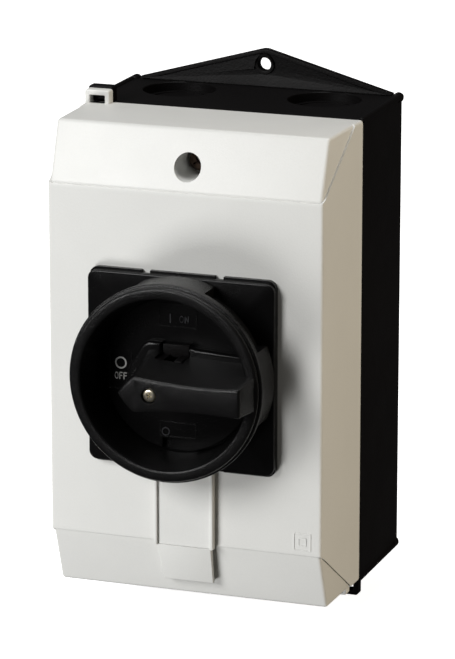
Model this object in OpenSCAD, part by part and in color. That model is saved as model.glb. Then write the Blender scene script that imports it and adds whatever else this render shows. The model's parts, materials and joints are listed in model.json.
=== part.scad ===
// Enclosed rotary isolator switch: a two-part insulated box with a cam switch inside
// and a padlockable ring handle on the cover.
// Each sub-part is drawn as seen from the front, x right, y up and z out of the wall,
// and upright() then stands it up: rear face on Y = 0, front towards -Y, +Z up.

/* [Enclosure] */
// Width of the base and cover over the side walls
box_w = 99; // [98:0.5:102]
// Height of the base and cover, without the fixing lugs
box_h = 162; // [160:0.5:166]
// Depth of the base, from the wall to the parting line
base_d = 45; // [44.5:0.5:48]
// Depth of the whole box, from the wall to the flat front of the cover
box_d = 84; // [84:0.5:84]
// Wall thickness of base and cover
wall = 2.6; // [2.2:0.1:2.8]
// Thickness of the rear wall
back_wall = 3; // [2.5:0.5:3.5]

/* [Cover] */
// Height of the flat front between the two creases
flat_h = 121; // [116:1:124]
// Depth at which the sloped ends meet the top and bottom faces
bevel_d = 76.5; // [75:0.5:78]
// How much narrower each side is at the front than at the parting line
side_draft = 0.9; // [0.5:0.1:1.2]
// How far the sloped ends stand back from the band that wraps the middle
bevel_step = 0.6; // [0.4:0.1:0.8]
// Diameter of the recess around each cover screw
recess_dia = 9.5; // [9:0.1:10.5]
// Height of each cover screw above and below the middle
screw_y = 68.7; // [68:0.1:70]

/* [Fixing] */
// Height of each lug hole above and below the middle
lug_hole_y = 89; // [88:0.5:91]
// Diameter of each lug hole
lug_hole_dia = 4.6; // [4.2:0.1:5.2]
// Diameter of the cable entry knock-outs
entry_dia = 26; // [25:0.5:27]
// Distance from the middle to each knock-out
entry_x = 26.5; // [26:0.5:28]

/* [Handle] */
// Width and height of the square front plate
plate_w = 66; // [65:0.5:68]
// Thickness of the front plate
plate_t = 4; // [4:0.5:4]
// Outer radius of the ring handle
ring_r = 33.6; // [33:0.1:34.5]
// Distance from the wall to the front of the ring
ring_front = 105; // [104:0.5:106]
// Distance from the wall to the face of the grip
grip_front = 118; // [117:0.5:119]
// Travel of the padlock slide
slide_travel = 6; // [4:0.5:6]

/* [Switch] */
// Lift of each contact bridge
contact_lift = 3; // [2.5:0.25:3]
// Side of the square switch shaft
shaft_w = 6; // [5.9:0.1:6]
// Thickness of each contact chamber
chamber_t = 14; // [14:1:14]

/* [Hidden] */
$fn = 48;
eps = 0.01;
gap = 0.3;
fit = 0.05;
half_w = box_w / 2;
half_h = box_h / 2;
crease_y = flat_h / 2;
side_crease_z = 52;
lug_half = 46.3;
lug_r = 5.3;
lug_t = 3;
entry_z = 16.2;
pillar_r = 4.5;
screw_seat = 66;
screw_r = 2;
plate_front = box_d + plate_t;
plate_y0 = plate_w / 2;
spigot_z = 78;
bearing_r = 8;
dial_r = 26.5;
dial_front = plate_front + 2;
grip_back = dial_front + gap;
tunnel_x = 4.9;
slide_z0 = 91;
slide_z1 = 99;
strip_half = 10.75;
stack_z = 10;
lid_z = stack_z + 2 * chamber_t;
detent_z = lid_z + 1.5;
stack_top = 50;
lower_half = 30;
upper_half = 23;
chamber_half = 23;
tie_y = 17.8;
bridge_screw_y = 34;
terminal_x = 12;
pad_x = 11;
bridge_x = pad_x + fit + 0.8 + contact_lift;
loop_x = 44.6;
cam_high = 8;
roller_r = 2.2;
wheel_r = 8.2;
wheel_z = 41.5;

// ---- Helpers -------------------------------------------------------------------------

// Stands a front-view drawing up against the wall
module upright() rotate([90, 0, 0]) children();

// Rod or drum along z
module rod(r, z0, z1) translate([0, 0, z0]) cylinder(r = r, h = z1 - z0);

// Block centred on x and y
module block(w, h, z0, z1) translate([-w / 2, -h / 2, z0]) cube([w, h, z1 - z0]);

// A copy on the right and one on the left
module left_right() {
    children();
    mirror([1, 0, 0]) children();
}

// A copy at the top and one at the bottom
module top_bottom() {
    children();
    mirror([0, 1, 0]) children();
}

// A copy in each corner
module corners() top_bottom() left_right() children();

// Side view [y, z] drawn out to the left and right
module across(points, w) rotate([90, 0, 90]) linear_extrude(w, center = true) polygon(points);

// Plan view [x, z] drawn out to the top and bottom
module along(points, h) rotate([90, 0, 0]) linear_extrude(h, center = true) polygon(points);

// Wedge of a disc, centred on an angle
module sector(r, angle, half_angle, z0, z1)
    translate([0, 0, z0]) linear_extrude(z1 - z0)
        polygon([[0, 0], for (i = [-4:4]) r * [cos(angle + i * half_angle / 4),
                                               sin(angle + i * half_angle / 4)]]);

// A profile mirrored about the y axis and closed
function mirrored(points) = concat(points, [for (i = [len(points) - 1:-1:0])
                                            [-points[i][0], points[i][1]]]);

// The same profile below the x axis, in reverse order
function flipped(points) = [for (i = [len(points) - 1:-1:0]) [points[i][0], -points[i][1]]];

// A cross-head recess with a slot
module screw_recess(r, z) {
    for (a = [0, 90]) rotate([0, 0, a]) block(r * 1.1, r * 0.34, z - r * 0.55, z + 1);
    block(r * 1.9, r * 0.24, z - r * 0.3, z + 1);
}

// Pan-head screw, its underside at z
module screw(head_r, head_t, shank_r, z, tip) difference() {
    union() {
        rod(head_r, z, z + head_t);
        rod(shank_r, tip, z + eps);
    }
    screw_recess(head_r, z + head_t);
}

// ---- Base ----------------------------------------------------------------------------

// Where a line from p touches a circle of radius r about c, on its upper side
function touch(p, c, r) = let (v = p - c, a = atan2(v[1], v[0]) + acos(r / norm(v)))
    c + r * [cos(a), sin(a)];

// Triangular lug behind the top wall, with its fixing hole
module lug() {
    heel = [lug_half, half_h + 0.6];
    tip = [0, lug_hole_y];
    linear_extrude(lug_t) difference() {
        union() {
            polygon(mirrored([[lug_half, half_h - 1], heel, touch(heel, tip, lug_r)]));
            translate(tip) circle(lug_r);
        }
        translate(tip) circle(d = lug_hole_dia);
    }
}

// Knock-out pocket in the top wall, with a break-out groove round the smaller size
module knock_out() {
    web_y = half_h - 1.5;
    groove_r = entry_dia / 2 - 2.6;
    translate([entry_x, 0, entry_z]) rotate([-90, 0, 0]) {
        rod(entry_dia / 2, web_y, half_h + 5);
        difference() {
            rod(groove_r, web_y - 0.5, half_h);
            rod(groove_r - 0.9, web_y - 1, half_h + 1);
        }
    }
}

// Wire-seal loop on the top wall, from z0 to z1 deep
module seal_loop(z0, z1, rise) translate([-loop_x, half_h, 0]) difference() {
    block(9, 2 * rise, z0, z1);
    translate([0, rise - 2.6, 0]) block(5.4, 2.8, z0 - 1, z1 + 1);
    translate([0, -rise - wall / 2, 0]) block(10, 2 * rise, z0 - 1, z1 + 1);
}

module base_box() color("#1b1b1d") upright() difference() {
    union() {
        difference() {
            block(box_w, box_h, 0, base_d);
            block(box_w - 2 * wall, box_h - 2 * wall, back_wall, base_d + 1);
            corners() knock_out();
        }
        difference() {
            block(box_w - 1, box_h - 1, base_d - 4, base_d - 2);
            block(box_w - 2 * wall - 5, box_h - 2 * wall - 5, base_d - 5, base_d);
        }
        top_bottom() lug();
        corners() {
            translate([half_w - 0.7, half_h - 0.4, 0]) rod(1.2, 0, base_d);
            translate([half_w - 1.3, half_h - 0.8, 0]) rod(1.8, 0, 5);
        }
        top_bottom() {
            translate([0, screw_y, 0]) rod(pillar_r, back_wall - 1, base_d - 1);
            translate([0, bridge_screw_y, 0]) rod(pillar_r, back_wall - 1, stack_z - 2);
        }
        for (a = [0, 180]) rotate([0, 0, a]) seal_loop(base_d - 3.6, base_d - 0.1, 5.4);
        translate([-27, -58, 0]) left_right() translate([8, 0, 0]) rod(3.6, back_wall - 1, 8);
    }
    top_bottom() {
        translate([0, screw_y, 0]) rod(screw_r + fit / 2, 28, base_d);
        translate([0, bridge_screw_y, 0]) rod(1.7, back_wall, stack_z);
    }
}

module cover_gasket() color("#3a3b3d") upright() difference() {
    block(box_w - 2 * wall - 0.4, box_h - 2 * wall - 0.4, base_d - 2, base_d - 0.1);
    block(box_w - 2 * wall - 4.6, box_h - 2 * wall - 4.6, base_d - 3, base_d);
}

// Two screws down into the rear wall carry this strip, and the strip carries the switch
module mounting_bridge() color("silver") upright() difference() {
    block(20, 2 * bridge_screw_y + 10, stack_z - 2, stack_z);
    top_bottom() {
        translate([0, bridge_screw_y, 0]) rod(1.9, 0, stack_z + 1);
        translate([0, tie_y, 0]) rod(1.92, 0, stack_z + 1);
    }
    rod(5, 0, stack_z + 1);
}

module mounting_screws() color("lightsteelblue") upright()
    top_bottom() translate([0, bridge_screw_y, 0]) screw(3.4, 2.2, 1.65, stack_z, 4);

// ---- Contact chambers ----------------------------------------------------------------

// One chamber of the switch: a tray with four terminal pockets, half its height long
module chamber(half, z) translate([0, 0, z]) difference() {
    block(2 * chamber_half, 2 * half, 0, chamber_t);
    block(2 * chamber_half - 4, 29, 2, chamber_t + 1);
    corners() {
        translate([terminal_x - 3.3, 14, 2]) cube([6.6, half, 1.6]);
        translate([terminal_x - 4.5, half - 7, 2]) cube([9, 8, chamber_t]);
        translate([terminal_x, half - 4, 0]) rod(2.1, 0.8, 3);
    }
    top_bottom() translate([0, tie_y, 0]) rod(screw_r, -1, chamber_t + 1);
    rod(5, -1, 3);
}

module lower_chamber() color("#2c2d30") upright() chamber(lower_half, stack_z);

module upper_chamber() color("#2c2d30") upright() chamber(upper_half, stack_z + chamber_t);

module chamber_lid() color("#2c2d30") upright() difference() {
    block(2 * chamber_half, 2 * upper_half, lid_z, detent_z);
    corners() translate([terminal_x - 4.5, upper_half - 7, lid_z - 1]) cube([9, 8, 4]);
    top_bottom() translate([0, tie_y, 0]) rod(screw_r, lid_z - 1, detent_z + 1);
    rod(5, lid_z - 1, detent_z + 1);
}

// Outline shared by the detent housing and its top plate
module detent_outline(z0, z1) {
    rod(16.5, z0, z1);
    top_bottom() translate([0, tie_y, 0]) rod(4.4, z0, z1);
}

module detent_housing() color("#4a4b4e") upright() difference() {
    detent_outline(detent_z, stack_top);
    rod(9.2, detent_z + 1.5, stack_top + 1);
    sector(12.6, 180, 56, detent_z + 1.5, stack_top + 1);
    for (a = [-45, 45]) rotate([0, 0, a])
        translate([6, -2.5, detent_z + 1.5]) cube([9.6, 5, 10]);
    rod(5, detent_z - 1, stack_top);
    top_bottom() translate([0, tie_y, 0]) rod(screw_r, detent_z - 1, stack_top + 1);
}

module top_plate() color("silver") upright() difference() {
    detent_outline(stack_top, stack_top + 1.5);
    rod(5.2, stack_top - 1, stack_top + 2);
    top_bottom() translate([0, tie_y, 0]) rod(screw_r, stack_top - 1, stack_top + 2);
}

module tie_bolts() color("lightsteelblue") upright()
    top_bottom() translate([0, tie_y, 0]) screw(3.5, 2.4, 1.9, stack_top + 1.5, stack_z - 1.6);

// Fixed contact on the right: a strip under the clamp and an upturned pad at its inner end
module fixed_contact(half, z) translate([0, 0, z]) difference() {
    union() {
        translate([terminal_x - 3, 8.2, 2]) cube([6, half - 9.4, 1.2]);
        translate([pad_x - 1.2, 8.2, 2]) cube([1.2, 3.6, 8.5]);
    }
    translate([terminal_x, half - 4, 0]) rod(1.75, 1, 4);
}

// Both chambers' upper pairs; turned over they are the lower pairs
module contact_set() left_right() {
    fixed_contact(lower_half, stack_z);
    fixed_contact(upper_half, stack_z + chamber_t);
}

module line_terminals() color("#c8894a") upright() contact_set();

module load_terminals() color("#c8894a") upright() mirror([0, 1, 0]) contact_set();

// Puts its children on each of the eight terminals, at the strip's top face
module at_terminals() corners() {
    translate([terminal_x, lower_half - 4, stack_z + 3.2]) children();
    translate([terminal_x, upper_half - 4, stack_z + chamber_t + 3.2]) children();
}

module terminal_clamps() color("#b8b9bb") upright() at_terminals() difference() {
    block(7.6, 5.6, 0, 1.2);
    rod(1.9, -1, 2);
}

module terminal_screws() color("#c9b36a") upright() at_terminals()
    screw(2.6, 2.4, 1.7, 1.2, -2.2);

// Spring behind each bridge, drawn at its compressed length
module contact_springs() color("silver") upright() left_right()
    for (z = [stack_z, stack_z + chamber_t]) translate([16.7, 0, z + 7.5])
        rotate([0, 90, 0]) difference() {
            rod(2, 0, 4.2);
            rod(1.5, -1, 5);
        }

module detent_rollers() color("silver") upright() for (a = [-45, 45]) rotate([0, 0, a])
    translate([wheel_r + gap + roller_r, 0, 0]) rod(roller_r, wheel_z, wheel_z + 6);

module detent_springs() color("silver") upright() for (a = [-45, 45]) rotate([0, 0, a])
    translate([wheel_r + gap + 2 * roller_r + 0.1, 0, wheel_z + 3]) rotate([0, 90, 0])
        difference() {
            rod(1.8, 0, 2.4);
            rod(1.2, -1, 3);
        }

module earth_terminal() color("#c9a227") upright() translate([-27, -58, 0]) difference() {
    block(26, 9, 8, 17);
    left_right() translate([8, 0, 0]) {
        rod(2.05, 8.5, 18);
        translate([0, 0, 11.5]) rotate([90, 0, 0]) translate([0, 0, -6]) cylinder(r = 2.4, h = 12);
    }
}

module earth_screws() color("#c9b36a") upright() translate([-27, -58, 0])
    left_right() translate([8, 0, 0]) screw(3.2, 2.4, 2, 17, 12);

// ---- Rotor ---------------------------------------------------------------------------

module switch_shaft() color("#9a9ca0") upright() block(shaft_w, shaft_w, stack_z + 0.5, 82);

// Radius of the cam at an angle: it falls evenly over each quarter turn that closes a pair
function cam_radius(a) = let (b = a % 180)
    b <= 90 ? cam_high - contact_lift * b / 90 :
    b < 130 ? cam_high - contact_lift :
    b < 170 ? cam_high - contact_lift * (170 - b) / 40 : cam_high;

// Square hole that slips over the shaft
module shaft_hole(z0, z1) block(shaft_w + 2 * fit, shaft_w + 2 * fit, z0, z1);

module cam(z) translate([0, 0, z]) difference() {
    union() {
        translate([0, 0, 4]) linear_extrude(7.2)
            polygon([for (a = [0:5:355]) cam_radius(a) * [cos(a), sin(a)]]);
        rod(5 - fit, 0.6, chamber_t - 0.1);
    }
    shaft_hole(0, chamber_t);
}

module lower_cam() color("#d8d4c8") upright() cam(stack_z);

module upper_cam() color("#d8d4c8") upright() cam(stack_z + chamber_t);

// Star wheel with a notch for each quarter turn and a tab that meets the end stops
module detent_wheel() color("#d8d4c8") upright() difference() {
    union() {
        translate([0, 0, wheel_z]) linear_extrude(6)
            polygon([for (a = [0:6:354]) (wheel_r - 0.6 - 0.6 * cos(4 * (a - 45)))
                                         * [cos(a), sin(a)]]);
        sector(12, 225, 9, wheel_z, wheel_z + 6);
        rod(5 - fit, lid_z + 0.1, stack_top + 1);
    }
    shaft_hole(lid_z, stack_top + 2);
}

// ---- Moving contacts -----------------------------------------------------------------

// Puts its children on bridge i: 1 and 2 right and left in the lower chamber, 3 and 4 above
module at_bridge(i) translate([0, 0, i > 2 ? stack_z + chamber_t : stack_z])
    rotate([0, 0, i % 2 == 1 ? 0 : 180]) children();

// Bridge drawn open, standing off the two fixed pads
module contact_bridge(i) color("#c8894a") upright() at_bridge(i) translate([bridge_x, 0, 7.5]) {
    translate([0, -11.6, -2.5]) cube([1.4, 23.2, 5]);
    for (y = [-10, 10]) translate([-0.8, y, 0]) rotate([0, 90, 0]) rod(1.7, 0, 0.9);
}

// Plunger between the cam and the bridge
module bridge_plunger(i) color("#e8e6de") upright() at_bridge(i) {
    nose_r = 1.5;
    nose_x = cam_high + gap + nose_r;
    translate([nose_x, 0, 0]) rod(nose_r, 4.4, 10.6);
    translate([nose_x, -nose_r, 4.4]) cube([1, 2 * nose_r, 6.2]);
    translate([nose_x + 0.8, -3.5, 4.4]) cube([bridge_x - nose_x - 0.8, 7, 6.2]);
}

// ---- Cover ---------------------------------------------------------------------------

// Full side view of the cover, shrunk by t, with the sloped ends set back by s
function cover_side(t, s) = let (y = half_h - t, c = crease_y - t / 3)
    [[-y, base_d], [y, base_d], [y, bevel_d - s - t / 2], [c, box_d - s - t],
     [-c, box_d - s - t], [-y, bevel_d - s - t / 2]];

// Side view of the raised band between the two creases
band_side = [[-half_h, base_d], [half_h, base_d], [half_h, side_crease_z], [crease_y, box_d],
             [-crease_y, box_d], [-half_h, side_crease_z]];

// Plan view of the cover, shrunk by t on each side
function cover_plan(t) = mirrored([[half_w - t, base_d - 1], [half_w - side_draft - t, box_d + 1]]);

// Tube around a cover screw, from the seal face down to the pillar
module screw_tube() translate([0, screw_y, 0]) rod(6.3, base_d + 1, box_d);

module cover() color("#dcdbd6") upright() difference() {
    union() {
        difference() {
            union() {
                intersection() {
                    across(band_side, box_w);
                    along(cover_plan(0), box_h);
                }
                intersection() {
                    across(cover_side(0, bevel_step), box_w);
                    along(cover_plan(bevel_step), box_h);
                }
            }
            intersection() {
                translate([0, 0, -eps]) across(cover_side(wall, bevel_step), box_w);
                along(cover_plan(wall + bevel_step), box_h);
            }
        }
        intersection() {
            across(cover_side(0, bevel_step), box_w);
            top_bottom() screw_tube();
        }
        for (a = [0, 180]) rotate([0, 0, a]) seal_loop(base_d + 0.1, base_d + 3.4, 4.6);
    }
    top_bottom() translate([0, screw_y, 0]) {
        rod(recess_dia / 2, screw_seat, box_d);
        rod(screw_r + 0.2, base_d, box_d);
    }
    rod(12, box_d - 2 * wall - 2, box_d + 1);
    difference() {
        rod(16.6, box_d - 1, box_d + 1);
        rod(13.9, box_d - 2, box_d + 2);
    }
    for (a = [45:90:315]) rotate([0, 0, a]) translate([26, 0, 0]) rod(1.8, box_d - 6, box_d + 1);
}

// Clip-on strip below the handle: a shallow label tray whose flared end hides the lower screw
module cover_strip() color("#e2e1dc") upright() {
    top = -plate_y0 - 0.6;
    crease = -crease_y - 1;
    tip = -75;
    surface = box_d - bevel_step - (-tip - crease_y) * (box_d - bevel_d) / (half_h - crease_y);
    difference() {
        translate([-strip_half, crease, box_d]) cube([2 * strip_half, top - crease, 4.6]);
        translate([-strip_half + 0.8, crease - 1, box_d + 1])
            cube([2 * strip_half - 1.6, top - crease + 2, 5]);
    }
    difference() {
        across([[crease + eps, box_d], [crease + eps, box_d + 1.6], [tip, surface + 4],
                [tip, surface], [-crease_y - 1.5, box_d - 0.9]], 2 * strip_half);
        across([[crease - 3, box_d - 5], [crease - 3, box_d + 0.1], [tip - 1, surface + 2.6],
                [tip - 1, surface - 3]], 2 * strip_half - 2.4);
    }
}

module cover_screws() color("#6b5a45") upright()
    top_bottom() translate([0, screw_y, 0]) screw(3.6, 3, screw_r, screw_seat + 0.9, 31);

module screw_seals() color("#3a3b3d") upright() top_bottom() translate([0, screw_y, 0])
    difference() {
        rod(3.4, screw_seat, screw_seat + 0.9);
        rod(screw_r + fit / 2, screw_seat - 1, screw_seat + 1);
    }

module front_plate() color("#1d1d1f") upright() difference() {
    union() {
        block(plate_w, plate_w - 6, box_d, plate_front);
        block(plate_w - 6, plate_w, box_d, plate_front);
        corners() translate([plate_y0 - 3, plate_y0 - 3, 0]) rod(3, box_d, plate_front);
        rod(11.5, spigot_z, box_d + 1);
    }
    rod(bearing_r + fit, spigot_z - 1, plate_front + 1);
    corners() translate([11.7, plate_y0 - 1, box_d - 1]) cube([3.5, 2, 3]);
    for (a = [45:90:315]) rotate([0, 0, a]) translate([26, 0, 0])
        rod(1.5, box_d - 1, plate_front - 1);
}

module plate_gasket() color("#3a3b3d") upright() difference() {
    rod(16.5, box_d - 1, box_d);
    rod(14, box_d - 2, box_d + 1);
}

// Screws from inside the cover into the back of the plate
module plate_screws() color("lightsteelblue") upright()
    for (a = [45:90:315]) rotate([0, 0, a]) translate([26, 0, 0]) mirror([0, 0, 1])
        screw(2.8, 2, 1.45, -(box_d - bevel_step - wall - 0.02), -(plate_front - 1.3));

// Fixed dial on the plate, with the notch under the padlock slide
module legend_dial() color("#232325") upright() difference() {
    rod(dial_r, plate_front, dial_front);
    rod(bearing_r + gap, plate_front - 1, dial_front + 1);
    translate([0, -dial_r, 0]) block(11, 8, plate_front - 1, dial_front + 1);
}

// ---- Handle --------------------------------------------------------------------------

// Half outlines of the grip, tip to waist and waist to ring, at its face and at its foot
grip_tip_face = [[-11.1, 0], [-5.5, 6.1], [12.8, 4.65]];
grip_tip_foot = [[-14.8, 0], [-9.5, 9], [12.8, 7.4]];
grip_end_face = [[12.8, 4.65], [31.4, 4.9]];
grip_end_foot = [[12.8, 7.4], [33, 7.2]];

// One convex length of the grip, tapering from foot to face
module grip_length(face, foot) hull() {
    translate([0, 0, grip_back]) linear_extrude(0.2) polygon(concat(foot, flipped(foot)));
    translate([0, 0, grip_front - 0.2]) linear_extrude(0.2) polygon(concat(face, flipped(face)));
}

// Low plinth around the foot of the grip
grip_plinth = [[-17.4, 0], [-12, 9.6], [-9.4, 11.5], [5.1, 11.2], [6.2, 10.1], [28.2, 8.8]];

// Ring with a rolled rim and a groove behind it
module ring() {
    rim_r = 2.2;
    rim_z = ring_front - rim_r;
    rotate_extrude($fn = 96) {
        polygon([[27.3, plate_front + 0.8], [ring_r - 2 * rim_r, rim_z], [ring_r, rim_z],
                 [ring_r, rim_z - 2.2], [ring_r - 1, rim_z - 2.4], [ring_r - 1, rim_z - 3.2],
                 [ring_r - 0.2, rim_z - 3.4], [ring_r - 0.2, plate_front + 0.8]]);
        translate([ring_r - rim_r, rim_z]) circle(rim_r);
    }
}

module rotary_handle() color("#202022") upright() difference() {
    union() {
        difference() {
            ring();
            for (a = [45:90:315]) difference() {
                sector(40, a, 22, plate_front, ring_front - 6.2);
                rod(30.2, plate_front - 1, ring_front);
            }
        }
        grip_length(grip_tip_face, grip_tip_foot);
        grip_length(grip_end_face, grip_end_foot);
        translate([0, 0, grip_back]) linear_extrude(2.5)
            polygon(concat(grip_plinth, flipped(grip_plinth)));
    }
    block(2 * tunnel_x, 40, grip_back - 1, slide_z1 + 0.2);
    left_right() translate([5.5, -3.1, grip_back - 1]) cube([2.2, 6.2, 8]);
    rod(1.6, grip_back, grip_front + 1);
    rod(2.6, grip_front - 2.8, grip_front + 1);
}

// Hub that turns in the plate and carries the handle's turn to the shaft
module shaft_driver() color("#2c2d30") upright() {
    difference() {
        union() {
            rod(bearing_r, 75.5, dial_front + 0.2);
            rod(6.4, 66, 75.6);
        }
        block(shaft_w + 0.2, shaft_w + 0.2, 65, 83);
        rod(1.47, 82, dial_front + 1);
        difference() {
            rod(9, 76.5, 77.5);
            rod(6.8, 76, 78);
        }
        difference() {
            rod(9, 80.1, 81.9);
            rod(6.4, 80, 82);
        }
    }
    left_right() translate([5.6, -3, dial_front]) cube([2, 6, 7]);
}

module handle_screw() color("#d9d2b4") upright() screw(2.4, 2.2, 1.45, grip_front - 2.7, 85);

module shaft_o_ring() color("#3a3b3d") upright() translate([0, 0, 81])
    rotate_extrude() translate([7.2, 0]) circle(0.78, $fn = 24);

// Spring ring that holds the driver in the plate
module retaining_ring() color("silver") upright() difference() {
    rod(10, 76.6, 77.4);
    rod(6.85, 76, 78);
    translate([0, 8, 0]) block(3, 8, 76, 78);
}

// Slide through the grip; its lower end comes out to show the shackle hole
module padlock_slide() color("#2a2a2c") upright() difference() {
    translate([-4.7, -8.2, slide_z0]) cube([9.4, 16.8, slide_z1 - slide_z0]);
    translate([-1.9, -2, slide_z0 - 1]) cube([3.8, 3.9 + slide_travel - 0.3, 10]);
    translate([0, -5.2, 95]) rotate([0, 90, 0]) translate([0, 0, -6]) cylinder(r = 2.2, h = 12);
}

// ---- Nodes ---------------------------------------------------------------------------

base_box();
cover_gasket();
mounting_bridge();
mounting_screws();
lower_chamber();
upper_chamber();
chamber_lid();
detent_housing();
top_plate();
tie_bolts();
line_terminals();
load_terminals();
terminal_clamps();
terminal_screws();
contact_springs();
detent_rollers();
detent_springs();
earth_terminal();
earth_screws();
switch_shaft();
lower_cam();
upper_cam();
detent_wheel();
contact_bridge(1);  // contact_bridge_1
contact_bridge(2);  // contact_bridge_2
contact_bridge(3);  // contact_bridge_3
contact_bridge(4);  // contact_bridge_4
bridge_plunger(1);  // bridge_plunger_1
bridge_plunger(2);  // bridge_plunger_2
bridge_plunger(3);  // bridge_plunger_3
bridge_plunger(4);  // bridge_plunger_4
cover();
cover_strip();
cover_screws();
screw_seals();
front_plate();
plate_gasket();
plate_screws();
legend_dial();
rotary_handle();
shaft_driver();
handle_screw();
shaft_o_ring();
retaining_ring();
padlock_slide();
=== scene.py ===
# %% [markdown]
# # An enclosed rotary isolator switch
# This script dresses a working model of a small isolator: a black base, a grey cover, a black
# ring handle and the cam switch inside. The model comes first and stays where it is, because its
# joints and fits are already right. What follows only adds rounded, detailed shapes around it
# and gives every surface a finish.

# %% Load the model
import json
import math
from collections import namedtuple

import bmesh
import bpy
from mathutils import Matrix, Vector


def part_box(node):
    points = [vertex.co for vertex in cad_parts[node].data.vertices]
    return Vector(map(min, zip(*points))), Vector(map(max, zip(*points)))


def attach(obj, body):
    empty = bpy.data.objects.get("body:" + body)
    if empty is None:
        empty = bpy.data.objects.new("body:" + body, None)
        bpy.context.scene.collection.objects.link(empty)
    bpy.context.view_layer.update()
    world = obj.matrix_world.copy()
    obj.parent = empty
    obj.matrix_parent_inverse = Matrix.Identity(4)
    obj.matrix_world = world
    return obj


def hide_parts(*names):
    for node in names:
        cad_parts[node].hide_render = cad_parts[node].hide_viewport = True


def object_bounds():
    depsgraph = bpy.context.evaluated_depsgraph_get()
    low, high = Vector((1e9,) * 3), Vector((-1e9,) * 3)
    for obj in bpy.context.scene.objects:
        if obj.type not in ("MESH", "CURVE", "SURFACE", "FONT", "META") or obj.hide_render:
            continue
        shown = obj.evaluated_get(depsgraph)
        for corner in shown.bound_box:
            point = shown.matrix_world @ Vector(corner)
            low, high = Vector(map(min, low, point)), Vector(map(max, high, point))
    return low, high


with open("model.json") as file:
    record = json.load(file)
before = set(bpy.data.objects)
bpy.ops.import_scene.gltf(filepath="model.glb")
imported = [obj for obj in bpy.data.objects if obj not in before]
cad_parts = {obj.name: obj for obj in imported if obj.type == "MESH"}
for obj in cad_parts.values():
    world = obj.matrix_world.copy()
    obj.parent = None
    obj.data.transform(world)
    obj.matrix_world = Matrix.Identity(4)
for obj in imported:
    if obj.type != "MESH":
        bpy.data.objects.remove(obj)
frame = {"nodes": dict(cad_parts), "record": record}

scene = bpy.context.scene
cad_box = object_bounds()

# %% [markdown]
# ## Camera
# A long lens from a distance shows the box with almost parallel edges, as a catalogue does.
# The camera stands a little to the right of the switch and above it, and looks at the middle of
# the box.

# %% Place the camera
AIM = Vector((0.0032, -0.0500, 0.0058))
CAMERA_AZIMUTH = math.radians(19.66)
CAMERA_ELEVATION = math.radians(14.95)
CAMERA_DISTANCE = 1.3665
LENS_MM = 218.5


def direction(azimuth, elevation):
    """Unit vector from the object: azimuth 0 is straight in front, positive to the right."""
    flat = math.cos(elevation)
    return Vector((math.sin(azimuth) * flat, -math.cos(azimuth) * flat, math.sin(elevation)))


def aimed(name, data, place, target):
    """Adds a camera or a light at a place, turned towards a target."""
    thing = bpy.data.objects.new(name, data)
    thing.location = place
    thing.rotation_euler = (target - place).to_track_quat("-Z", "Y").to_euler()
    scene.collection.objects.link(thing)
    return thing


camera_data = bpy.data.cameras.new("camera")
camera_data.lens = LENS_MM
camera_data.clip_end = 20
camera_place = AIM + CAMERA_DISTANCE * direction(CAMERA_AZIMUTH, CAMERA_ELEVATION)
scene.camera = aimed("camera", camera_data, camera_place, AIM)
print("camera at", [round(v, 3) for v in camera_place])

# %% [markdown]
# ## The bench frame
# The pieces are easiest to think about lying on their back: x to the right, y up the wall and z
# out of it, in millimetres. One matrix then stands each finished mesh up in the model's own
# frame, in metres. `bench_box` reads a node's box back into the same terms, so that sizes come
# from the model.

# %% Bench frame helpers
MM = 0.001
STAND = Matrix.Rotation(math.radians(90), 4, "X") @ Matrix.Scale(MM, 4)
Box = namedtuple("Box", "left right bottom top back front")


def bench_box(node):
    """A node's box on the bench, in millimetres."""
    low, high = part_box(node)
    return Box(low.x / MM, high.x / MM, low.z / MM, high.z / MM, -high.y / MM, -low.y / MM)


def moved(x=0, y=0, z=0):
    return Matrix.Translation((x, y, z))


def turned(degrees, axis="Z"):
    return Matrix.Rotation(math.radians(degrees), 4, axis)


base = bench_box("base_box")
cover = bench_box("cover")
plate = bench_box("front_plate")
dial = bench_box("legend_dial")
handle = bench_box("rotary_handle")
gasket = bench_box("cover_gasket")
print("base", [round(v, 1) for v in base])
print("cover", [round(v, 1) for v in cover])
print("handle", [round(v, 1) for v in handle])

# %% [markdown]
# A finished piece needs the same few steps each time: merge doubled points, turn the faces
# outwards, stand it up, shade round stretches smoothly but keep corners crisp, and let it ride
# on the body that carries it.

# %% Finish a piece
CRISP_ANGLE = math.radians(32)
counts = {}


def piece(name, bm, body, material, replaced=(), crisp=CRISP_ANGLE):
    """Turns a bench mesh into a finished object that rides on a body of the model."""
    bmesh.ops.remove_doubles(bm, verts=bm.verts, dist=0.002)
    bmesh.ops.recalc_face_normals(bm, faces=bm.faces)
    bm.transform(STAND)
    mesh = bpy.data.meshes.new(name)
    bm.to_mesh(mesh)
    bm.free()
    mesh.shade_smooth()
    mesh.set_sharp_from_angle(angle=crisp)
    mesh.materials.append(material)
    shown = bpy.data.objects.new(name, mesh)
    scene.collection.objects.link(shown)
    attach(shown, body)
    if replaced:
        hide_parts(*replaced)
    counts[name] = len(mesh.polygons)
    return shown


# %% [markdown]
# ## Shader maths
# A material is a small recipe. `Value` wraps one output of a node, so that `noise * 0.2 + 0.5`
# adds the Math nodes by itself. `Recipe.node` makes any other node: first its type, then its
# settings, then what goes into its sockets.

# %% Recipe and Value
class Value:
    """One node output that can be added, subtracted and multiplied."""

    def __init__(self, recipe, socket):
        self.recipe = recipe
        self.socket = socket

    def math(self, operation, first, second):
        return self.recipe.node("ShaderNodeMath", {"operation": operation}, first, second)

    def __add__(self, other):
        return self.math("ADD", self, other)

    def __sub__(self, other):
        return self.math("SUBTRACT", self, other)

    def __rsub__(self, other):
        return self.math("SUBTRACT", other, self)

    def __mul__(self, other):
        return self.math("MULTIPLY", self, other)

    __radd__ = __add__
    __rmul__ = __mul__


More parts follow.
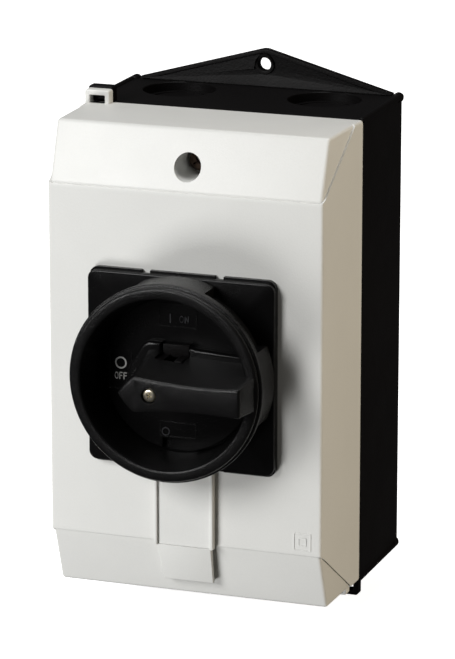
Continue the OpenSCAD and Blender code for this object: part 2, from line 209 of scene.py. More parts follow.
class Recipe:
    """One material: its Principled shader and the nodes that feed it."""

    def __init__(self, name, **constants):
        self.material = bpy.data.materials.new(name + "_finish")
        self.material.use_nodes = True
        self.tree = self.material.node_tree
        self.shader = self.tree.nodes["Principled BSDF"]
        self.place = self.node("ShaderNodeTexCoord", output="Object")
        for socket, value in constants.items():
            self.shader.inputs[socket.replace("_", " ")].default_value = value

    def node(self, kind, settings=None, *inputs, output=0, **named):
        """Adds a node; inputs go by order and named ones by name, with _ for a space."""
        made = self.tree.nodes.new(kind)
        for key, value in (settings or {}).items():
            if key == "stops":
                self.set_stops(made.color_ramp, value)
            else:
                setattr(made, key, value)
        for socket, value in list(enumerate(inputs)) + list(named.items()):
            key = socket.replace("_", " ") if isinstance(socket, str) else socket
            self.put(made.inputs[key], value)
        return Value(self, made.outputs[output])

    def put(self, socket, value):
        """Links a Value to a socket, or sets a plain number, colour or vector on it."""
        if isinstance(value, Value):
            self.tree.links.new(value.socket, socket)
        else:
            socket.default_value = value

    def set_stops(self, ramp, stops):
        while len(ramp.elements) < len(stops):
            ramp.elements.new(1.0)
        for element, (position, grey) in zip(ramp.elements, stops):
            element.position = position
            element.color = (grey, grey, grey, 1)

    def noise(self, cell_mm, detail=2.0, stretch=(1, 1, 1)):
        """Soft noise from 0 to 1 whose blobs are about cell_mm across."""
        spot = self.node("ShaderNodeMapping", {}, self.place, Scale=stretch)
        return self.node("ShaderNodeTexNoise", {"noise_dimensions": "3D"}, Vector=spot,
                         Scale=1 / (cell_mm * MM), Detail=detail, Roughness=0.55)

    def contrast(self, value, low, high):
        """Spreads the range low to high over 0 to 1."""
        return self.node("ShaderNodeMapRange", {"clamp": True}, value, low, high, 0.0, 1.0)

    def blend(self, factor, first, second):
        """A colour between two colours."""
        settings = {"data_type": "RGBA", "blend_type": "MIX"}
        mix = self.tree.nodes.new("ShaderNodeMix")
        for key, value in settings.items():
            setattr(mix, key, value)
        self.put(mix.inputs[0], factor)
        self.put(mix.inputs[6], first)
        self.put(mix.inputs[7], second)
        return Value(self, mix.outputs[2])

    def bump(self, height, depth_mm, strength=1.0):
        """Raises the surface where height is high, by depth_mm at most."""
        raised = self.node("ShaderNodeBump", {}, Strength=strength, Distance=depth_mm * MM,
                           Height=height)
        self.put(self.shader.inputs["Normal"], raised)

    def colour(self, value):
        self.put(self.shader.inputs["Base Color"], value)

    def roughness(self, value):
        self.put(self.shader.inputs["Roughness"], value)


def rgb(red, green, blue):
    return (red, green, blue, 1)


print("shader helpers ready")

# %% [markdown]
# ## Moulded plastics
# Both halves of the enclosure and the handle are injection moulded. The mould is spark eroded,
# which leaves a fine pebbled grain: large enough to break up a highlight, too small to see as
# bumps. The recipe has three layers: slow mottling of the colour, patches where handling has
# polished the grain, and the grain itself as a bump.

# %% Plastic recipe
def plastic(name, colour, mottle, roughness, grain_mm, grain_depth, specular=0.5, patch=0.06):
    recipe = Recipe(name, Specular_IOR_Level=specular)
    slow = recipe.noise(34, detail=3)
    fine = recipe.noise(grain_mm, detail=3)
    darker = rgb(*(c * (1 - mottle) for c in colour))
    lighter = rgb(*(min(1, c * (1 + mottle)) for c in colour))
    mixed = recipe.contrast(slow * 0.65 + fine * 0.35, 0.3, 0.7)
    recipe.colour(recipe.blend(mixed, darker, lighter))
    handled = recipe.noise(11, detail=2)
    recipe.roughness(handled * patch * 2 + (fine * patch + roughness - patch * 1.5))
    recipe.bump(recipe.contrast(fine, 0.25, 0.75), grain_depth)
    return recipe.material


COVER_GREY = plastic("cover_grey", (0.60, 0.60, 0.578), 0.03, 0.46, 0.7, 0.028, specular=0.5)
HOUSING_BLACK = plastic("housing_black", (0.0028, 0.0024, 0.0025), 0.25, 0.50, 0.8, 0.05,
                        specular=0.10)
SATIN_BLACK = plastic("satin_black", (0.0026, 0.0025, 0.0026), 0.2, 0.25, 0.55, 0.02,
                      specular=0.17)
GRIP_BLACK = plastic("grip_black", (0.0034, 0.0033, 0.0034), 0.2, 0.24, 0.42, 0.085,
                     specular=0.27, patch=0.03)
CHAMBER_PLASTIC = plastic("chamber_plastic", (0.014, 0.0145, 0.016), 0.12, 0.45, 0.9, 0.03)
DETENT_PLASTIC = plastic("detent_plastic", (0.075, 0.077, 0.082), 0.10, 0.42, 0.9, 0.03)
CAM_PLASTIC = plastic("cam_plastic", (0.62, 0.59, 0.50), 0.05, 0.36, 1.2, 0.02)
SEAL_RUBBER = plastic("seal_rubber", (0.045, 0.046, 0.048), 0.15, 0.72, 0.5, 0.03, specular=0.25)
print("plastics: cover, housing, satin, grip, chamber, detent, cam and rubber")

# %% [markdown]
# ## Metals
# The metal parts are small stampings and screws. Plating is never even: it is cloudier in some
# places and the tumbling barrel leaves fine scratches. Noise stretched along one axis gives the
# scratches, and a second, wider noise shifts the colour a little.

# %% Metal recipe
def metal(name, colour, tarnish, roughness, scratch=(1, 1, 9), scratch_depth=0.006):
    recipe = Recipe(name, Metallic=1.0)
    cloud = recipe.contrast(recipe.noise(2.6, detail=3), 0.35, 0.68)
    lines = recipe.noise(0.5, detail=2, stretch=scratch)
    recipe.colour(recipe.blend(cloud, rgb(*colour), rgb(*tarnish)))
    recipe.roughness(lines * 0.12 + (cloud * 0.12 + roughness))
    recipe.bump(lines, scratch_depth)
    return recipe.material


ZINC_STEEL = metal("zinc_steel", (0.60, 0.62, 0.65), (0.45, 0.46, 0.48), 0.24)
YELLOW_ZINC = metal("yellow_zinc", (0.78, 0.66, 0.36), (0.60, 0.50, 0.34), 0.26)
NICKEL_SCREW = metal("nickel_screw", (0.86, 0.80, 0.66), (0.70, 0.62, 0.46), 0.22)
BRONZED_STEEL = metal("bronzed_steel", (0.17, 0.115, 0.085), (0.07, 0.05, 0.042), 0.30)
SPRING_STEEL = metal("spring_steel", (0.50, 0.51, 0.53), (0.34, 0.34, 0.36), 0.22)
COPPER_ALLOY = metal("copper_alloy", (0.80, 0.47, 0.28), (0.58, 0.32, 0.20), 0.26, (9, 1, 1))
TERMINAL_BRASS = metal("terminal_brass", (0.74, 0.56, 0.26), (0.52, 0.38, 0.19), 0.28)
print("metals: zinc, yellow zinc, nickel, bronze, spring steel, copper and brass")

# %% [markdown]
# ## Flat outlines
# Many pieces are a flat outline, perhaps with holes, given a thickness. `loop` lays a ring of
# points, `filled` closes the rings into one sheet that keeps the holes open, `thicken` pulls the
# sheet up, and `round_over` rolls its rim inwards along a quarter circle, as a moulded edge is.

# %% Outline helpers
def loop(bm, points, z):
    """Closed ring of edges through flat points."""
    ring = [bm.verts.new((x, y, z)) for x, y in points]
    return [bm.edges.new((a, b)) for a, b in zip(ring, ring[1:] + ring[:1])]


def stitched(bm, lower, upper):
    """Quads between two rings of equal count, point for point, so that no ring can be turned."""
    for a, b in zip(lower, upper):
        bm.faces.new((a.verts[0], a.verts[1], b.verts[1], b.verts[0]))


def circle(radius, x=0, y=0, segments=48):
    steps = [2 * math.pi * i / segments for i in range(segments)]
    return [(x + radius * math.cos(a), y + radius * math.sin(a)) for a in steps]


def rounded_rectangle(half_w, half_h, radius, x=0, y=0, steps=6):
    """Rectangle with arcs at its corners."""
    points = []
    for corner, (sx, sy) in enumerate(((1, 1), (-1, 1), (-1, -1), (1, -1))):
        for i in range(steps + 1):
            a = math.radians(90 * (corner + i / steps))
            points.append((x + sx * (half_w - radius) + radius * math.cos(a),
                           y + sy * (half_h - radius) + radius * math.sin(a)))
    return points


def filled(bm, edges):
    made = bmesh.ops.triangle_fill(bm, use_beauty=True, edges=edges)["geom"]
    return [g for g in made if isinstance(g, bmesh.types.BMFace)]


def thicken(bm, faces, height):
    """Pulls a flat sheet up into a slab and returns its top faces."""
    made = bmesh.ops.extrude_face_region(bm, geom=faces)["geom"]
    top = [g for g in made if isinstance(g, bmesh.types.BMFace)]
    bmesh.ops.translate(bm, verts=list({v for f in top for v in f.verts}), vec=(0, 0, height))
    bm.normal_update()
    if top[0].normal.z < 0:
        bmesh.ops.reverse_faces(bm, faces=bm.faces)
    return top


def round_over(bm, faces, radius, steps=3):
    """Rolls the rim of flat faces inwards and up along a quarter circle."""
    angles = [math.pi / 2 * i / steps for i in range(steps + 1)]
    for a, b in zip(angles, angles[1:]):
        bmesh.ops.inset_region(bm, faces=faces, use_boundary=True, use_even_offset=True,
                               thickness=radius * (math.cos(a) - math.cos(b)),
                               depth=radius * (math.sin(b) - math.sin(a)))
    return faces


def slab(bm, rings, z0, z1, edge=0.3, steps=3):
    """Slab between z0 and z1 from an outline and its holes, with a rolled front edge."""
    edges = [e for ring in rings for e in loop(bm, ring, z0)]
    top = thicken(bm, filled(bm, edges), z1 - z0 - edge)
    return round_over(bm, top, edge, steps)


def turned_part(bm, profile, segments=48, about=(0, 0), closed=True):
    """Spins a side profile of (radius, z) points about an axis along z."""
    ring = [bm.verts.new((about[0] + r, about[1], z)) for r, z in profile]
    pairs = list(zip(ring, ring[1:] + ring[:1])) if closed else list(zip(ring, ring[1:]))
    edges = [bm.edges.new(pair) for pair in pairs]
    bmesh.ops.spin(bm, geom=ring + edges, cent=(*about, 0), axis=(0, 0, 1),
                   angle=2 * math.pi, steps=segments, use_merge=True, use_normal_flip=False)
    bmesh.ops.remove_doubles(bm, verts=bm.verts, dist=0.001)


def arc(cx, cz, radius, start, end, steps=6):
    """Points of a profile along part of a circle, by angles in degrees."""
    angles = [math.radians(start + (end - start) * i / steps) for i in range(steps + 1)]
    return [(cx + radius * math.cos(a), cz + radius * math.sin(a)) for a in angles]


print("outline helpers ready")

# %% [markdown]
# ## Cover
# The real cover is one light grey shell. A band wraps its middle: the flat front and the lower
# part of each side stand 0.6 mm proud of the sloping ends, so a fine crease runs across the
# front and down each side. The shell could be carved with Booleans, but then every rounded edge
# has to be repaired. Here the plain body comes first: a block, cut by two sloping planes, with
# all its edges bevelled while its faces are still whole. The same function, a wall thickness
# smaller and unrounded, makes the inside.

# %% Cover dimensions
WALL = 2.6
HALF_H = gasket.top + 0.2 + WALL
PARTING = cover.back
FRONT = plate.front - 4
SLOPE_Z = 76.5
CREASE_Y = 60.5
SIDE_CREASE_Z = 52.0
DRAFT = 0.9
CREASE_STEP = 0.6
EDGE_RADIUS = 1.1
HALF_W = cover.right
SCREW_Y = 68.7
RECESS_R = 4.75
SCREW_SEAT = 66.0
print("cover", round(2 * HALF_W, 1), "x", round(2 * HALF_H, 1), "front at", round(FRONT, 1))


# %% Block with sloping ends
def cut(bm, point, normal, keep_both=False):
    """Cuts the mesh by a plane; what lies beyond it is removed and the cut closed."""
    everything = bm.verts[:] + bm.edges[:] + bm.faces[:]
    made = bmesh.ops.bisect_plane(bm, geom=everything, plane_co=point, plane_no=normal,
                                  clear_outer=not keep_both, dist=0.01)["geom_cut"]
    if not keep_both:
        edges = [g for g in made if isinstance(g, bmesh.types.BMEdge)]
        bmesh.ops.contextual_create(bm, geom=edges)


def sloped_block(bm, inset, front, crease_y):
    """The cover's plain body, open at the back, smaller by inset on every side."""
    half_w = HALF_W - CREASE_STEP - inset
    half_h = HALF_H - inset
    size = Matrix.Diagonal((2 * half_w, 2 * half_h, front - PARTING, 1))
    block = bmesh.ops.create_cube(bm, size=1, matrix=moved(z=(PARTING + front) / 2) @ size)
    front_verts = [v for v in block["verts"] if v.co.z > PARTING + 1]
    bmesh.ops.scale(bm, vec=((half_w - DRAFT) / half_w, 1, 1), verts=front_verts)
    rise = front - (SLOPE_Z - CREASE_STEP - inset / 2)
    for side in (1, -1):
        cut(bm, (0, side * crease_y, front), (0, side * rise, half_h - crease_y))
    back = [f for f in bm.faces if f.calc_center_median().z < PARTING + 0.1]
    bmesh.ops.delete(bm, geom=back, context="FACES_ONLY")


outside = bmesh.new()
sloped_block(outside, 0, FRONT - CREASE_STEP, CREASE_Y)
folds = [e for e in outside.edges if len(e.link_faces) == 2]
bmesh.ops.bevel(outside, geom=folds, offset=EDGE_RADIUS, offset_type="OFFSET", affect="EDGES",
                segments=4, profile=0.5, material=-1, clamp_overlap=True)
print("cover body with rounded edges:", len(outside.faces), "faces")

# %% [markdown]
# Two planes along the creases divide the body. Everything between them, apart from the top and
# bottom walls, is the band: it is extruded, and its new points move out by the step, sideways on
# the sides and forwards on the front. The rounded corner between them moves both ways and so
# keeps its radius.

# %% Raise the band
crease_planes = [(Vector((0, s * CREASE_Y, FRONT - CREASE_STEP)),
                  Vector((0, s * (FRONT - CREASE_STEP - SIDE_CREASE_Z), HALF_H - CREASE_Y)))
                 for s in (1, -1)]
for point, normal in crease_planes:
    cut(outside, point, normal, keep_both=True)
outside.normal_update()


def in_band(face):
    middle = face.calc_center_median()
    between = all((middle - p).dot(n) < 0.01 for p, n in crease_planes)
    return between and abs(face.normal.y) < 0.99


band = [f for f in outside.faces if in_band(f)]
raised = bmesh.ops.extrude_face_region(outside, geom=band)["geom"]
raised = [g for g in raised if isinstance(g, bmesh.types.BMVert)]
side_from = HALF_W - CREASE_STEP - DRAFT - EDGE_RADIUS - 0.05
front_from = FRONT - CREASE_STEP - EDGE_RADIUS - 0.05
for vert in raised:
    if abs(vert.co.x) > side_from:
        vert.co.x += math.copysign(CREASE_STEP, vert.co.x)
    if vert.co.z > front_from:
        vert.co.z += CREASE_STEP
bmesh.ops.delete(outside, geom=band, context="FACES")
outside.normal_update()
ledges = [f for f in outside.faces
          if abs(f.normal.z) > 0.9 and f.calc_center_median().z < PARTING + 0.1]
bmesh.ops.delete(outside, geom=ledges, context="FACES")
rim = [e for e in outside.edges if e.is_boundary]
print("band raised:", len(band), "faces; rim of", len(rim), "edges")

# %% [markdown]
# The two cover screws sit at the bottom of deep round recesses. Each recess, the seat that the
# screw head presses on and the tube that reaches down to the base are one continuous surface, so
# they are drawn as one: a circle opened in the sloping face, pulled down, narrowed to the screw
# hole, pulled down again, widened and pulled back up to the inside.

# %% Recesses and openings
def open_holes(bm, face, outlines):
    """Opens holes of these outlines, as seen from the front, in a flat face; returns their edges."""
    normal, anchor = face.normal.copy(), face.verts[0].co.copy()
    rings = [loop(bm, outline, 0) for outline in outlines]
    for vert in {v for ring in rings for e in ring for v in e.verts}:
        vert.co.z = anchor.z - (normal.x * (vert.co.x - anchor.x)
                                + normal.y * (vert.co.y - anchor.y)) / normal.z
    border = list(face.edges)
    bmesh.ops.delete(bm, geom=[face], context="FACES_ONLY")
    filled(bm, border + [e for ring in rings for e in ring])
    return rings


def pull(bm, ring, z=None, radius=None, x=0, y=0):
    """Extrudes a round ring of edges to a depth, or to another radius."""
    made = bmesh.ops.extrude_edge_only(bm, edges=ring)["geom"]
    verts = [g for g in made if isinstance(g, bmesh.types.BMVert)]
    for vert in verts:
        if z is not None:
            vert.co.z = z
        if radius is not None:
            away = Vector((vert.co.x - x, vert.co.y - y)).normalized() * radius
            vert.co.x, vert.co.y = x + away.x, y + away.y
    return [g for g in made if isinstance(g, bmesh.types.BMEdge)]


def flat_face(bm, z_normal, y_sign=0):
    """Largest face that looks forwards; y_sign picks the front or one of the slopes."""
    found = [f for f in bm.faces if f.normal.z > z_normal
             and (f.normal.y * y_sign > 0.2 if y_sign else abs(f.normal.y) < 0.02)]
    return max(found, key=lambda f: f.calc_area())


inner = bmesh.new()
sloped_block(inner, WALL, FRONT - CREASE_STEP - WALL, CREASE_Y - WALL / 3)
TUBE_R, BORE_R, SPIGOT_HOLE_R = 6.3, 2.2, 12.0
inner_mesh = bpy.data.meshes.new("cover_inside")
inner.to_mesh(inner_mesh)
inner.free()
outside.normal_update()
recesses = [open_holes(outside, flat_face(outside, 0.8, side), [circle(RECESS_R, 0, side * SCREW_Y)])[0]
            for side in (1, -1)]
spigot_hole = open_holes(outside, flat_face(outside, 0.99), [circle(SPIGOT_HOLE_R)])[0]
outer_rim = [e for e in outside.edges if e.is_boundary
             and all(abs(v.co.z - PARTING) < 0.01 for v in e.verts)]
known = set(outside.faces)
outside.from_mesh(inner_mesh)
bpy.data.meshes.remove(inner_mesh)
inside_faces = [f for f in outside.faces if f not in known]
outside.normal_update()
inner_front = max((f for f in inside_faces if f.normal.z > 0.99), key=lambda f: f.calc_area())
inner_slopes = [max((f for f in inside_faces if f.normal.z > 0.8 and f.normal.y * s > 0.2),
                    key=lambda f: f.calc_area()) for s in (1, -1)]
inner_rim = [e for f in inside_faces for e in f.edges if e.is_boundary]
for side, face, ring in zip((1, -1), inner_slopes, recesses):
    y = side * SCREW_Y
    down = pull(outside, ring, z=SCREW_SEAT)
    down = pull(outside, down, radius=BORE_R, y=y)
    down = pull(outside, down, z=PARTING + 1)
    down = pull(outside, down, radius=TUBE_R, y=y)
    meeting = open_holes(outside, face, [circle(TUBE_R, 0, y)])[0]
    bmesh.ops.bridge_loops(outside, edges=down + meeting)
meeting = open_holes(outside, inner_front, [circle(SPIGOT_HOLE_R)])[0]
bmesh.ops.bridge_loops(outside, edges=spigot_hole + meeting)
filled(outside, outer_rim + inner_rim)
bmesh.ops.recalc_face_normals(outside, faces=outside.faces)
open_edges = sum(len(e.link_faces) != 2 for e in outside.edges)
print("cover shell:", len(outside.faces), "faces,", open_edges, "open edges")
cover_shell = piece("cover_shell", outside, "cover_set", COVER_GREY, ["cover"])

# %% [markdown]
# Two small loops on the parting line let an inspector pull a wire seal through the cover and the
# base together. Each is a slab with a window, rolled at its front edge. They stand at opposite
# corners, so the second is turned half round; on the cover it is also narrower.

# %% Seal loops
LOOP_X, LOOP_HALF, LOOP_SIDE = 44.6, 4.5, 1.8
WIDE = (LOOP_X, LOOP_HALF)
NARROW = (LOOP_X - 1.5, LOOP_HALF - 1.5)


def seal_loops(name, rise, lower, z0, z1, body, material):
    """Both loops of one body; lower is the place and half width of the turned one."""
    bm = bmesh.new()
    for half_turn, (x, half) in ((0, WIDE), (180, lower)):
        one = bmesh.new()
        middle = HALF_H + rise / 2
        outline = rounded_rectangle(half, rise / 2 + 0.8, 0.9, -x, middle - 0.8)
        window = rounded_rectangle(half - LOOP_SIDE, rise / 2 - 0.95, 0.3, -x, middle - 0.95)
        slab(one, [outline, window], z0, z1, edge=0.45)
        one.transform(turned(half_turn))
        add_to(bm, one)
    return piece(name, bm, body, material)


def add_to(bm, extra):
    """Adds another bench mesh to this one and frees it."""
    mesh = bpy.data.meshes.new("spare")
    extra.to_mesh(mesh)
    extra.free()
    bm.from_mesh(mesh)
    bpy.data.meshes.remove(mesh)


seal_loops("cover_seal_loops", 4.6, NARROW, PARTING + 0.1, PARTING + 3.4, "cover_set", COVER_GREY)
seal_loops("base_seal_loops", 5.4, WIDE, PARTING - 3.6, PARTING - 0.1, "base", HOUSING_BLACK)
print("seal loops at x", -LOOP_X, "and", LOOP_X)

# %% [markdown]
# Below the handle a strip clips on: a shallow tray between two low lips, where a label can go,
# and a flared tongue that hides the lower cover screw. Seen from the side the strip is one bent
# line, so its side profile is drawn once, pulled across the width and its long edges bevelled.
# The tray is then let in between the lips.

# %% Label strip
strip = bench_box("cover_strip")
LIP = 1.1
LIP_Z = FRONT + 2.7
TRAY_Z = FRONT + 1.7
STRIP_HALF = strip.right - 0.2
STRIP_SHIFT = 0.4
TONGUE_TOP_HALF, TONGUE_TIP_HALF = STRIP_HALF - 0.9, STRIP_HALF - 1.7
crease_y = -CREASE_Y - 1


def side_profile(bm, points, half_w):
    """Side view of (y, z) points pulled across from -half_w to half_w."""
    verts = [bm.verts.new((-half_w, y, z)) for y, z in points]
    face = bm.faces.new(verts)
    made = bmesh.ops.extrude_face_region(bm, geom=[face])["geom"]
    far = [g for g in made if isinstance(g, bmesh.types.BMVert)]
    bmesh.ops.translate(bm, verts=far, vec=(2 * half_w, 0, 0))
    bmesh.ops.recalc_face_normals(bm, faces=bm.faces)


def bevel_edges(bm, test, offset, segments=3):
    """Bevels every edge for which test(edge) holds."""
    edges = [e for e in bm.edges if e.is_manifold and test(e)]
    bmesh.ops.bevel(bm, geom=edges, offset=offset, offset_type="OFFSET", affect="EDGES",
                    segments=segments, profile=0.5, material=-1, clamp_overlap=True)


def sharp(edge):
    return edge.calc_face_angle() > math.radians(25)


slope = (FRONT - SLOPE_Z) / (HALF_H - CREASE_Y)
tip_y = strip.bottom
tip_surface = FRONT - CREASE_STEP - (-tip_y - CREASE_Y) * slope
bm = bmesh.new()
for x in (-STRIP_HALF + LIP / 2, STRIP_HALF - LIP / 2):
    rail = bmesh.new()
    size = Matrix.Diagonal((LIP, strip.top - crease_y, LIP_Z - FRONT, 1))
    centre = moved(x, (strip.top + crease_y) / 2, (LIP_Z + FRONT) / 2)
    bmesh.ops.create_cube(rail, size=1, matrix=centre @ size)
    bevel_edges(rail, sharp, 0.3, 3)
    add_to(bm, rail)
tray = bmesh.new()
size = Matrix.Diagonal((2 * STRIP_HALF - LIP, strip.top - crease_y - 0.2, TRAY_Z - FRONT, 1))
centre = moved(0, (strip.top + crease_y) / 2, (TRAY_Z + FRONT) / 2)
bmesh.ops.create_cube(tray, size=1, matrix=centre @ size)
add_to(bm, tray)
tongue = bmesh.new()
side_profile(tongue, [(crease_y + 0.2, FRONT), (crease_y + 0.2, TRAY_Z + 0.45),
                      (tip_y, tip_surface + 3.2), (tip_y, tip_surface + 1.8),
                      (crease_y - 1, FRONT - 0.4)], 1)
side_profile(tongue, [(crease_y, FRONT - 0.5), (crease_y, TRAY_Z), (tip_y + 0.2, tip_surface + 2.8),
                      (tip_y + 0.2, tip_surface)], 0.94)
for vert in tongue.verts:
    along = (crease_y - vert.co.y) / (crease_y - tip_y)
    vert.co.x *= TONGUE_TOP_HALF + (TONGUE_TIP_HALF - TONGUE_TOP_HALF) * along
bevel_edges(tongue, sharp, 0.3, 3)
add_to(bm, tongue)
bm.transform(moved(STRIP_SHIFT))
piece("label_strip", bm, "cover_set", COVER_GREY, ["cover_strip"])
print("strip from", round(strip.top, 1), "to", round(strip.bottom, 1))

# %% [markdown]
# The double square moulded into the lower right of the front is the general sign for double
# insulation. It is two thin square rings, barely proud of the surface.

# %% Double-insulation sign
SIGN_X, SIGN_Y = 41.9, -55.9
bm = bmesh.new()
for half, line in ((3.1, 0.34), (1.45, 0.34)):
    ring = bmesh.new()
    slab(ring, [rounded_rectangle(half, half, 0.25, SIGN_X, SIGN_Y, 2),
                rounded_rectangle(half - line, half - line, 0.1, SIGN_X, SIGN_Y, 2)],
         FRONT - 0.2, FRONT + 0.22, edge=0.1, steps=2)
    add_to(bm, ring)
piece("double_square_sign", bm, "cover_set", COVER_GREY)
print("sign at", SIGN_X, SIGN_Y)

# %% [markdown]
# ## Screws
# The cover screws and the handle screw take either a cross-head or a flat driver. A screw head is
# turned, so its side profile is spun. The driver recess really is sunk: a cross-shaped outline is
# left open in the head's flat top and pulled down, narrowing towards its floor.

# %% Screw with a combined recess
RECESS_PARTS = (0.72, 0.30, 0.98, 0.17)


def cross_outline(reach, width, slot_reach, slot_width):
    """Outline of a cross whose horizontal arm runs on as a narrower slot."""
    quarter = [(slot_reach, slot_width / 2), (reach, slot_width / 2), (reach, width / 2),
               (width / 2, width / 2), (width / 2, reach)]
    points = quarter + [(-a, b) for a, b in reversed(quarter)]
    return points + [(-a, -b) for a, b in quarter] + [(a, -b) for a, b in reversed(quarter)]


def screw(bm, x, y, head_z, head_h, head_r, shank_r, tip_z, turn=0):
    """Pan-head screw pointing into the wall, its underside at head_z."""
    one = bmesh.new()
    top = head_z + head_h
    dome = arc(head_r - 0.45 * head_h, top - 0.45 * head_h, 0.45 * head_h, 0, 90, 5)
    flat_r = dome[-1][0]
    profile = [(shank_r * 0.7, tip_z), (shank_r, tip_z + 0.6), (shank_r, head_z),
               (head_r, head_z)] + dome
    turned_part(one, profile, segments=40, closed=False)
    bottom = [e for e in one.edges if e.is_boundary and all(v.co.z < tip_z + 0.1 for v in e.verts)]
    bmesh.ops.edgeloop_fill(one, edges=bottom)
    outer = [e for e in one.edges if e.is_boundary]
    cross = loop(one, cross_outline(*(flat_r * part for part in RECESS_PARTS)), top)
    filled(one, outer + cross)
    made = bmesh.ops.extrude_edge_only(one, edges=cross)["geom"]
    floor = [g for g in made if isinstance(g, bmesh.types.BMVert)]
    for vert in floor:
        vert.co.x *= 0.8
        vert.co.y *= 0.8
        vert.co.z = top - 0.42 * head_h
    bmesh.ops.edgeloop_fill(one, edges=[g for g in made if isinstance(g, bmesh.types.BMEdge)
                                        and g.is_boundary])
    one.transform(moved(x, y) @ turned(turn))
    add_to(bm, one)


screws = bench_box("cover_screws")
bm = bmesh.new()
for side, turn in ((1, 35), (-1, 80)):
    screw(bm, 0, side * SCREW_Y, SCREW_SEAT + 0.9, 3.0, 3.6, 2.0, screws.back, turn)
piece("cover_screws_turned", bm, "cover_set", BRONZED_STEEL, ["cover_screws"])
grip_screw = bench_box("handle_screw")
bm = bmesh.new()
screw(bm, 0, 0, handle.front - 2.7, 2.35, 2.4, 1.45, grip_screw.back, 68)
piece("handle_screw_turned", bm, "handle_set", NICKEL_SCREW, ["handle_screw"])
print("screws: 2 in the cover, 1 in the grip")

# %% [markdown]
# ## Front plate and dial
# The square plate carries the handle and turns its screws to the inside of the cover. It is a
# rounded square slab. Four small clip notches break its rear edge. The dial lies on it: a disc
# with an opening for the padlock slide, the label frames and the position marks.

# %% Front plate
PLATE_R = 3.0
BORE = 8.05
NOTCH_FROM, NOTCH_TO, NOTCH_DEPTH = 11.4, 14.6, 1.2
PLATE_STEP = 1.9
REAR_RISE = 0.75


def plate_outline(extra=0):
    return rounded_rectangle(plate.right, plate.top + extra, PLATE_R, steps=8)


def notched_outline():
    """A taller square with two clip notches in its top edge and two in its bottom edge."""
    corners = plate_outline(REAR_RISE)
    half = len(corners) // 2
    quarter = half // 2
    one = [(NOTCH_TO, 0), (NOTCH_TO, 1), (NOTCH_FROM, 1), (NOTCH_FROM, 0)]
    edge = [(x, plate.top + REAR_RISE - depth * NOTCH_DEPTH) for x, depth in one]
    edge += [(-x, y) for x, y in reversed(edge)]
    upper = corners[:quarter] + edge + corners[quarter:half]
    return upper + [(-x, -y) for x, y in upper]


bm = bmesh.new()
rear = bmesh.new()
slab(rear, [notched_outline(), circle(BORE)], FRONT, FRONT + PLATE_STEP + 0.05, edge=0.15, steps=1)
add_to(bm, rear)
main = bmesh.new()
slab(main, [plate_outline(), circle(BORE)], FRONT + PLATE_STEP, plate.front, edge=0.55, steps=3)
add_to(bm, main)
spigot = bmesh.new()
turned_part(spigot, [(BORE, plate.back), (11.2, plate.back), (11.5, plate.back + 0.3),
                     (11.5, FRONT + 0.1), (BORE, FRONT + 0.1)])
add_to(bm, spigot)
piece("handle_plate", bm, "cover_set", SATIN_BLACK, ["front_plate"])
print("plate", round(2 * plate.right, 1), "mm square")

# %% Dial
DIAL_BORE = BORE + 0.25
DIAL_FACE = dial.front - 0.02
NOTCH_HALF, NOTCH_TOP = 5.5, -22.5
mouth = math.degrees(math.asin(NOTCH_HALF / dial.right))
rim_points = arc(0, 0, dial.right, -90 + mouth, 270 - mouth, 72)
notch_points = [(-NOTCH_HALF, NOTCH_TOP), (NOTCH_HALF, NOTCH_TOP)]
bm = bmesh.new()
slab(bm, [rim_points + notch_points, circle(DIAL_BORE)], plate.front, DIAL_FACE, edge=0.35)
piece("dial_disc", bm, "cover_set", SATIN_BLACK, ["legend_dial"])
print("dial radius", round(dial.right, 1))

# %% [markdown]
# The dial carries the two positions: O with OFF beside it on the left, I with ON at the top, each
# in a raised frame that a label could fill, and a small turning mark at the bottom. Pad printing
# lays ink a few hundredths of a millimetre thick. Every sign here is drawn from straight bars and
# rings, so no font is needed.

# %% Dial marks
DIAL_INK = plastic("dial_ink", (0.30, 0.30, 0.29), 0.10, 0.55, 0.6, 0.01, specular=0.3)
FAINT_INK = plastic("faint_ink", (0.018, 0.018, 0.020), 0.25, 0.50, 0.6, 0.01, specular=0.3)
INK, MARK_RISE, FRAME_RISE = 0.05, 0.16, 0.2


def bar(bm, start, end, width, z0, z1):
    """Flat bar from one point to another."""
    (x0, y0), (x1, y1) = start, end
    length = math.hypot(x1 - x0, y1 - y0)
    lie = Matrix.Rotation(math.atan2(y1 - y0, x1 - x0), 4, "Z")
    centre = moved((x0 + x1) / 2, (y0 + y1) / 2, (z0 + z1) / 2)
    size = Matrix.Diagonal((length + width, width, z1 - z0, 1))
    bmesh.ops.create_cube(bm, size=1, matrix=centre @ lie @ size)


def ring_mark(bm, x, y, outer, line, z0, z1, squash=1.0):
    """Ring, or the letter O when squashed."""
    one = bmesh.new()
    rims = [[(x + (a - x) * squash, b) for a, b in circle(r, x, y, 32)]
            for r in (outer, outer - line)]
    slab(one, rims, z0, z1, edge=(z1 - z0) * 0.3, steps=1)
    add_to(bm, one)


LETTERS = {"F": [((0, 0), (0, 1)), ((0, 1), (1, 1)), ((0, 0.52), (0.8, 0.52))],
           "N": [((0, 0), (0, 1)), ((0, 1), (1, 0)), ((1, 0), (1, 1))],
           "I": [((0.5, 0), (0.5, 1))]}


def word(bm, letters, x, y, height, width, z0, z1):
    """Word of block letters, centred on x and y."""
    stroke, gap = height * 0.17, width * 0.62
    left = x - (len(letters) * width + (len(letters) - 1) * gap) / 2
    for letter in letters:
        if letter == "O":
            ring_mark(bm, left + width / 2, y, height / 2 + stroke / 2, stroke, z0, z1,
                      (width + stroke) / (height + stroke))
        else:
            for (ax, ay), (bx, by) in LETTERS[letter]:
                start = (left + ax * width, y + (ay - 0.5) * height)
                end = (left + bx * width, y + (by - 0.5) * height)
                bar(bm, start, end, stroke, z0, z1)
        left += width + gap


